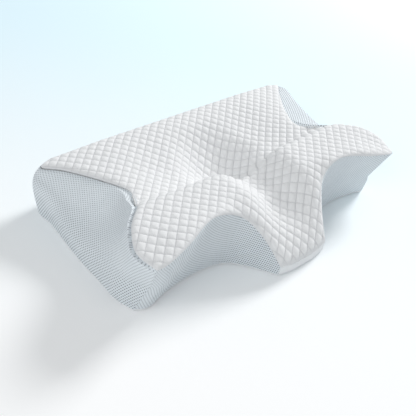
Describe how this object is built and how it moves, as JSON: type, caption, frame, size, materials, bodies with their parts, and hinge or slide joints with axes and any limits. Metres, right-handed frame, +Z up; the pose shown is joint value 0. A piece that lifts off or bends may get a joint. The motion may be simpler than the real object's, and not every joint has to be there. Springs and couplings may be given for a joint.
{
  "type": "contour neck pillow",
  "caption": "Butterfly-shaped contour pillow for the neck: quilted top with a deep head hollow and wings, air-mesh sides, zip-off cover over memory foam.",
  "frame": {"origin": "centre of the outer box in plan, on the flat underside that the pillow rests on", "axes": "+X along the length, from the left wing to the right wing; +Y towards the straight back edge; +Z up"},
  "size_m": [0.6214, 0.38, 0.123],
  "materials": {
    "quilted_cloth": "matte",
    "air_mesh": "matte",
    "smooth_cloth": "matte",
    "liner_cloth": "matte",
    "memory_foam": "matte",
    "zip_tape": "matte",
    "zip_coil": "satin",
    "zip_metal": "satin",
    "label_cloth": "satin"
  },
  "bodies": {
    "pillow": {"foam_core": "memory_foam", "liner_top": "liner_cloth", "liner_bottom": "liner_cloth", "quilted_top": "quilted_cloth", "bottom_panel": "smooth_cloth", "side_panel_right": "air_mesh", "front_panel_right": "air_mesh", "lobe_band": "smooth_cloth", "front_panel_left": "air_mesh", "side_panel_left": "air_mesh", "back_panel_upper": "air_mesh", "back_panel_lower": "air_mesh", "zipper_tape_upper": "zip_tape", "zipper_coil_upper": "zip_coil", "zipper_top_stop_upper": "zip_metal", "zipper_tape_lower": "zip_tape", "zipper_coil_lower": "zip_coil", "zipper_top_stop_lower": "zip_metal", "zipper_bottom_stop": "zip_metal", "care_label": "label_cloth"},
    "slider": {"zipper_slider": "zip_metal"},
    "pull": {"zipper_pull": "zip_metal"}
  },
  "joints": [
    {"name": "zip_slide", "type": "slide", "parent": "pillow", "child": "slider", "axis": [-1, 0, 0], "range_m": [0, 0.437]},
    {"name": "pull_swing", "type": "hinge", "parent": "slider", "child": "pull", "pos_m": [0.219, 0.18835, 0.023], "axis": [0, 0, -1], "range_deg": [0, 178]}
  ]
}
